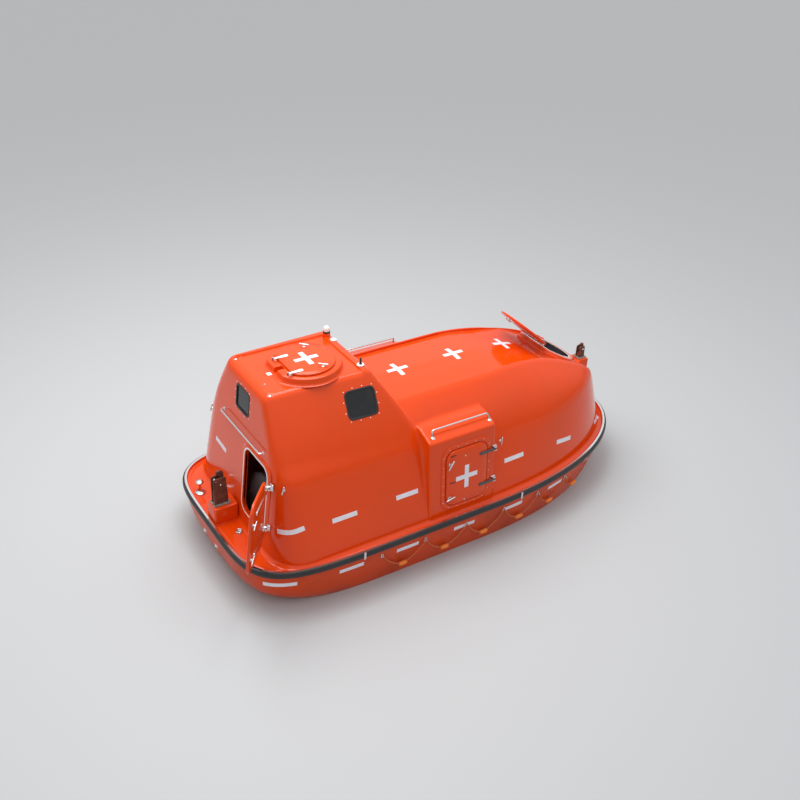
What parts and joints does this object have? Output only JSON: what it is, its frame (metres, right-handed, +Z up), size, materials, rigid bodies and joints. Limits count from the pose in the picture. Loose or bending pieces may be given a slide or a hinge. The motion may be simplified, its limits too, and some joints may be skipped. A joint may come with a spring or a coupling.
{
  "type": "totally enclosed lifeboat",
  "caption": "Totally enclosed lifeboat afloat, with raised wheelhouse, opening doors and hatches, lifting hooks, lifelines and a steering nozzle.",
  "frame": {"origin": "amidships on the centreline, at the waterline", "axes": "+X towards the bow, +Y to port, +Z up"},
  "size_m": [5.9036, 2.7, 3.1123],
  "materials": {
    "gelcoat": "glossy orange gelcoat",
    "liner": "off-white moulded liner",
    "engine_paint": "painted casting",
    "grey_trim": "grey vinyl",
    "fender_rubber": "black rubber",
    "pane": "dark glazing",
    "stainless": "polished stainless steel",
    "rusty_steel": "brown, rusty steel",
    "white_plastic": "white plastic",
    "bronze": "cast bronze",
    "orange_rope": "orange rope and floats"
  },
  "bodies": {
    "boat": {"hull_shell": "gelcoat", "seat_moulding": "liner", "engine_block": "engine_paint", "engine_cover": "grey_trim", "side_deck": "gelcoat", "hook_pedestal": "gelcoat", "fender": "fender_rubber", "wheelhouse": "gelcoat", "stern_wall": "gelcoat", "canopy_top": "gelcoat", "canopy_starboard": "gelcoat", "canopy_port": "gelcoat", "window_starboard": "pane", "window_port": "pane", "window_front_starboard": "pane", "window_front_port": "pane", "window_stern": "pane", "stern_rail": "stainless", "rail_starboard": "stainless", "rail_port": "stainless", "aft_hook": "rusty_steel", "fore_hook": "rusty_steel", "mast_light": "white_plastic", "antenna_post": "white_plastic", "bollard": "stainless", "deck_socket": "stainless", "helm_seat": "grey_trim", "stern_tube": "bronze", "lifeline_port": "orange_rope", "lifeline_starboard": "orange_rope"},
    "starboard_door": {"starboard_door": "gelcoat"},
    "port_door": {"port_door": "gelcoat"},
    "stern_door": {"stern_door": "gelcoat"},
    "roof_hatch": {"roof_hatch_lid": "gelcoat"},
    "bow_hatch": {"bow_hatch_lid": "gelcoat"},
    "aft_jaw": {"aft_hook_jaw": "rusty_steel"},
    "fore_jaw": {"fore_hook_jaw": "rusty_steel"},
    "propeller": {"propeller": "bronze"},
    "steering": {"steering_nozzle": "gelcoat"}
  },
  "joints": [
    {"name": "starboard_door_hinge", "type": "hinge", "parent": "boat", "child": "starboard_door", "pos_m": [0.222, -1.2036, 1.0703], "axis": [0, 0.0885, 0.9961], "range_deg": [0, 135]},
    {"name": "port_door_hinge", "type": "hinge", "parent": "boat", "child": "port_door", "pos_m": [0.222, 1.2036, 1.0703], "axis": [0, 0.0885, -0.9961], "range_deg": [0, 135]},
    {"name": "stern_door_hinge", "type": "hinge", "parent": "boat", "child": "stern_door", "pos_m": [-2.5343, -0.79, 1.0719], "axis": [0.0995, 0, 0.995], "range_deg": [-140, 0]},
    {"name": "roof_hatch_hinge", "type": "hinge", "parent": "boat", "child": "roof_hatch", "pos_m": [-1.99, -0.11, 2.472], "axis": [0, -1, 0], "range_deg": [0, 110]},
    {"name": "bow_hatch_hinge", "type": "hinge", "parent": "boat", "child": "bow_hatch", "pos_m": [1.688, 0, 1.8001], "axis": [0, -1, 0], "range_deg": [-166, 0]},
    {"name": "aft_jaw_pivot", "type": "hinge", "parent": "boat", "child": "aft_jaw", "pos_m": [-2.705, 0.04, 1.0631], "axis": [0, 1, 0], "range_deg": [0, 60]},
    {"name": "fore_jaw_pivot", "type": "hinge", "parent": "boat", "child": "fore_jaw", "pos_m": [2.545, 0, 1.4425], "axis": [0, 1, 0], "range_deg": [0, 60]},
    {"name": "propeller_spin", "type": "hinge", "parent": "boat", "child": "propeller", "pos_m": [-2.388, 0, -0.395], "axis": [1, 0, 0], "continuous": true},
    {"name": "steering_turn", "type": "hinge", "parent": "boat", "child": "steering", "pos_m": [-2.395, 0, -0.395], "axis": [0, 0, 1], "range_deg": [-35, 35]}
  ]
}
